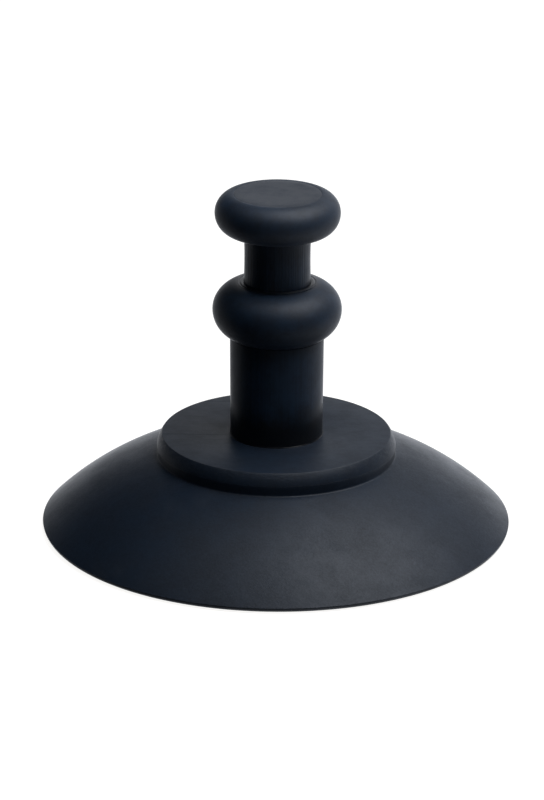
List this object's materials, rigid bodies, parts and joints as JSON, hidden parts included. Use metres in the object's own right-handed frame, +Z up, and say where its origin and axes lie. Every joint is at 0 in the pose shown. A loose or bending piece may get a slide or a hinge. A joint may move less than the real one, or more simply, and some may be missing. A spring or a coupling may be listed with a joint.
{
  "type": "sink plunger",
  "caption": "Short hand plunger for sinks: a shallow round rubber bell with a bevelled disc on top and a straight grip ending in two bulbs, bolted through the middle.",
  "frame": {"origin": "centre of the circle that the rim stands on", "axes": "+Z up along the bolt's axis, from the rim to the flat top of the head; X and Y are alike"},
  "size_m": [0.125, 0.125, 0.0923],
  "materials": {
    "cup_rubber": "satin moulded rubber, faintly mottled",
    "disc_rubber": "satin hard rubber, turned top, scuffed bevel",
    "grip_rubber": "matt hard rubber with a soft sheen",
    "cap_rubber": "satin hard rubber",
    "seal_rubber": "matt soft rubber",
    "plated_steel": "zinc-plated, dull bright"
  },
  "bodies": {
    "bell": {"cup": "cup_rubber"},
    "handle": {"clamp_plate": "plated_steel", "tie_bolt": "plated_steel", "seal_ring": "seal_rubber", "pressure_disc": "disc_rubber", "load_washer": "plated_steel", "core_tube": "plated_steel", "stem_sleeve": "grip_rubber", "bead_ring": "grip_rubber", "neck_sleeve": "grip_rubber", "head_knob": "grip_rubber", "top_washer": "plated_steel", "lock_washer": "plated_steel", "clamp_nut": "plated_steel", "head_cap": "cap_rubber"}
  },
  "joints": [
    {"name": "plunge_stroke", "type": "slide", "parent": "bell", "child": "handle", "axis": [0, 0, -1], "range_m": [-0.003, 0.01], "stiffness_N_per_m": 3000, "deforming": ["cup"]}
  ]
}
